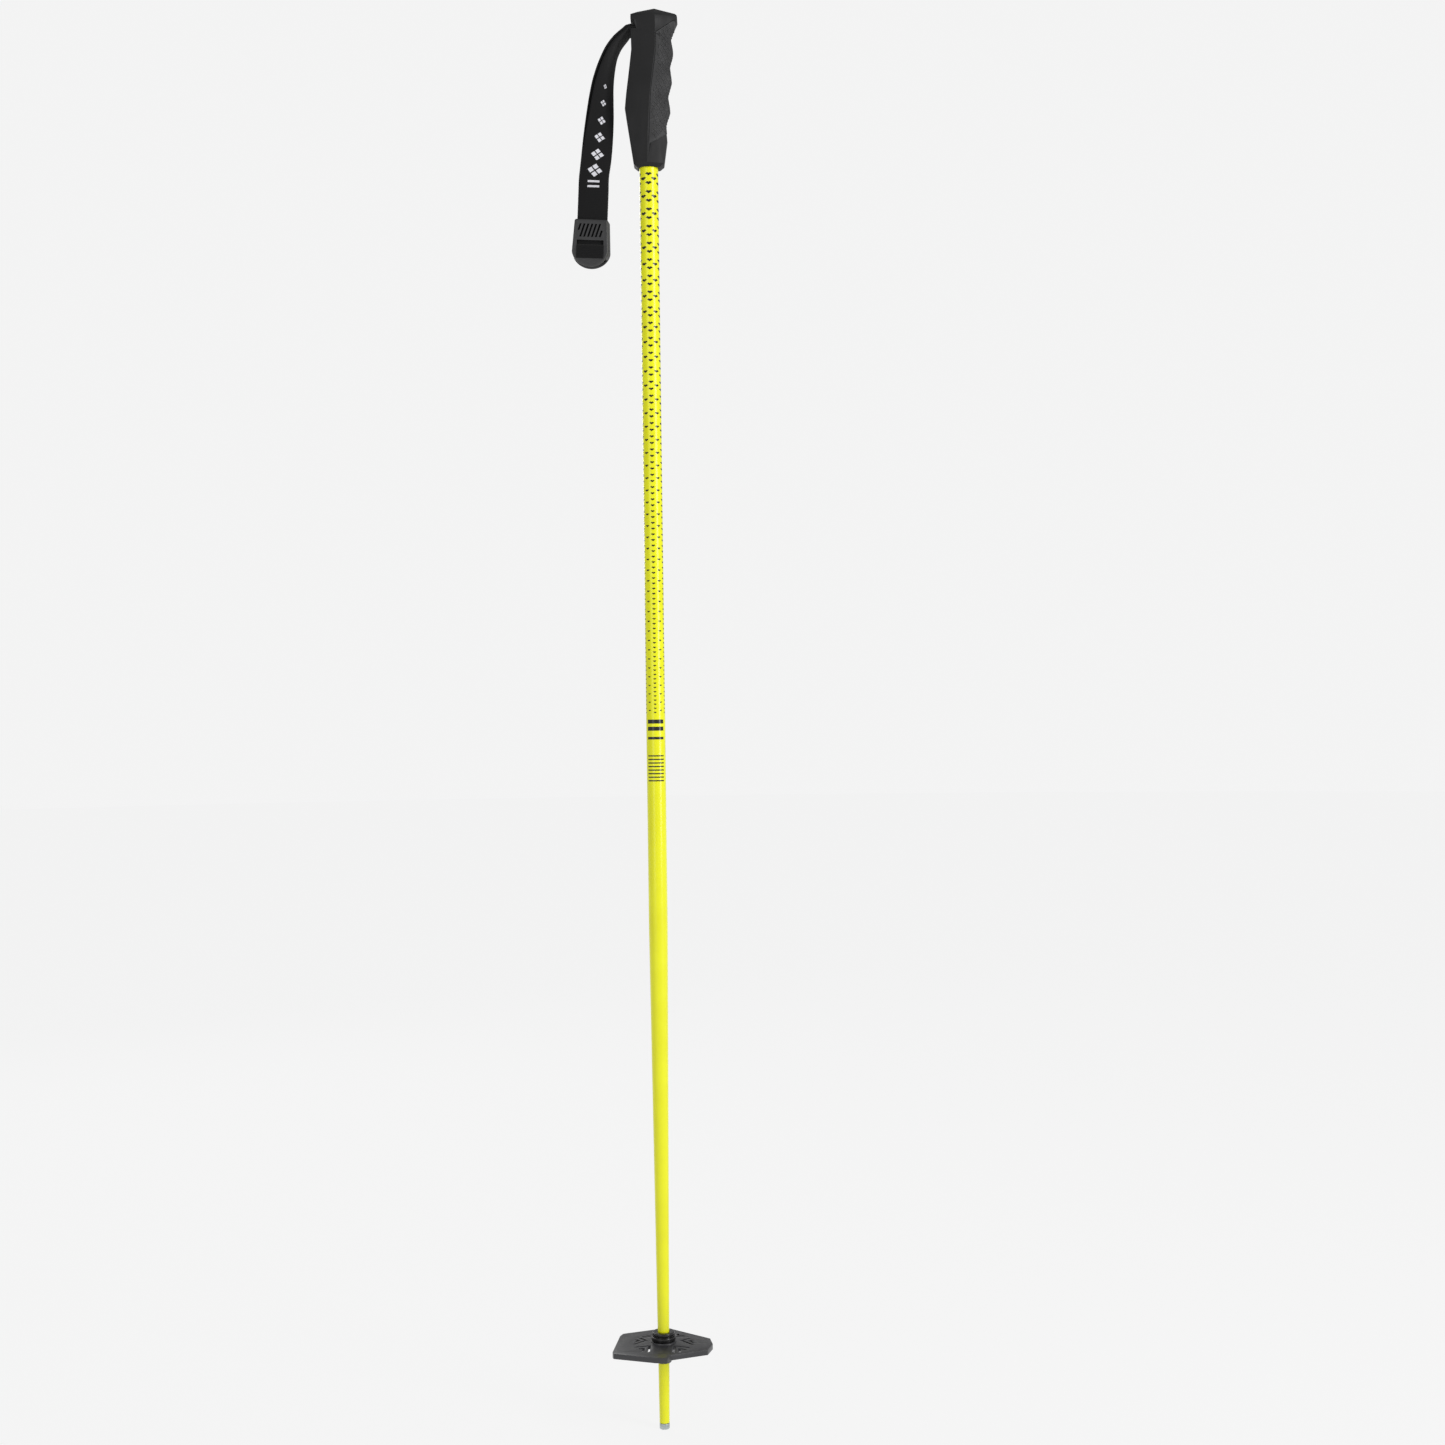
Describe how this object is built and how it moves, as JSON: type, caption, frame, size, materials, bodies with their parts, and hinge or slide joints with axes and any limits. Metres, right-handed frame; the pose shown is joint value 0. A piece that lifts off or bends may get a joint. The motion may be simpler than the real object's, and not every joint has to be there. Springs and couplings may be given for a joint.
{
  "type": "ski pole",
  "caption": "Alpine ski pole with a tapered aluminium tube, faceted two-part grip, wrist strap with sliding buckle, six-sided snow basket and pointed tip.",
  "frame": {"origin": "the centre of the flat end of the tip", "axes": "+Z along the tube from the tip to the grip, -X towards the side where the strap hangs, +X towards the finger grooves"},
  "size_m": [0.1071, 0.0781, 1.2],
  "materials": {
    "shaft_paint": "aluminium tube in gloss fluorescent yellow paint with a printed dark pattern, under clear coat",
    "grip_hard": "fine-grained hard black plastic",
    "grip_soft": "soft rubber with raised diamond pattern",
    "webbing": "ribbed woven polyester webbing",
    "buckle": "satin moulded black plastic",
    "basket": "dark grey moulded plastic",
    "collar": "gloss black plastic",
    "steel": "turned steel, lightly worn",
    "carbide": "dull grey sintered carbide"
  },
  "bodies": {
    "pole": {"shaft": "shaft_paint", "shaft_plug": "grip_hard", "grip_body": "grip_hard", "grip_front_pad": "grip_soft", "strap_anchor_web": "webbing", "strap_dowel": "steel", "strap_wedge": "grip_hard", "tip_ferrule": "steel", "carbide_insert": "carbide"},
    "strap": {"strap_near_web": "webbing", "strap_far_web": "webbing"},
    "buckle": {"strap_buckle": "buckle", "buckle_bar": "steel", "strap_bar_bulge": "webbing"},
    "basket_mount": {"basket_collar": "collar", "basket_retainer": "collar"},
    "basket": {"basket_deck": "basket"}
  },
  "joints": [
    {"name": "strap_swing", "type": "hinge", "parent": "pole", "child": "strap", "pos_m": [-0.0154, 0, 1.1854], "axis": [0, 1, 0], "range_deg": [0, 100]},
    {"name": "buckle_slide", "type": "slide", "parent": "strap", "child": "buckle", "axis": [0.0499, 0, 0.9988], "range_m": [0, 0.024]},
    {"name": "basket_pull", "type": "slide", "parent": "pole", "child": "basket_mount", "axis": [0, 0, -1], "range_m": [0, 0.056]},
    {"name": "basket_spin", "type": "hinge", "parent": "basket_mount", "child": "basket", "pos_m": [0, 0, 0.07], "axis": [0, 0, 1], "continuous": true}
  ]
}
